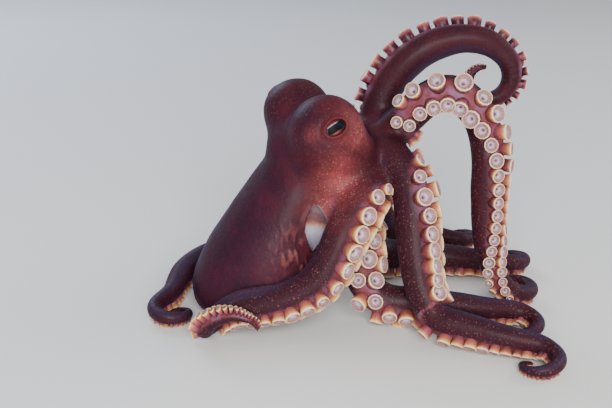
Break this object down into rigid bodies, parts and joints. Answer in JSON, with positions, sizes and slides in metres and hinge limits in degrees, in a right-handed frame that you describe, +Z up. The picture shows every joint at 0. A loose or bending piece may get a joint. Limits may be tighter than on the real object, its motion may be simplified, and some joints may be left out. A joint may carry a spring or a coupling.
{
  "type": "octopus",
  "caption": "Life-size still model of a veined octopus sitting on its mantle, its arms with their suckers draped and curled round it.",
  "frame": {"origin": "on the floor, under the mantle that the octopus sits on", "axes": "+Z up, +X from the mantle towards the arms, -Y the side of the right eye"},
  "size_m": [0.095, 0.0833, 0.0679],
  "materials": {
    "skin": "moist, smooth maroon skin with fine darker veins",
    "arms": "moist, dark maroon skin with tiny pale warts",
    "eyes": "glossy, pink and orange iris round a dark bar pupil"
  },
  "bodies": {
    "root": {"mantle": "skin", "head": "skin", "funnel": "skin", "eye_right": "eyes", "eye_left": "eyes", "arm_crown": "arms", "arm_right_1_inner": "arms", "arm_right_1_middle": "arms", "arm_right_1_tip": "arms", "arm_right_2_inner": "arms", "arm_right_2_middle": "arms", "arm_right_2_tip": "arms", "arm_right_3_inner": "arms", "arm_right_3_middle": "arms", "arm_right_3_tip": "arms", "arm_right_4_inner": "arms", "arm_right_4_middle": "arms", "arm_right_4_tip": "arms", "arm_left_1_inner": "arms", "arm_left_1_middle": "arms", "arm_left_1_tip": "arms", "arm_left_2_inner": "arms", "arm_left_2_middle": "arms", "arm_left_2_tip": "arms", "arm_left_3_inner": "arms", "arm_left_3_middle": "arms", "arm_left_3_outer": "arms", "arm_left_3_tip": "arms", "arm_left_4_inner": "arms", "arm_left_4_middle": "arms", "arm_left_4_tip": "arms"}
  },
  "joints": []
}
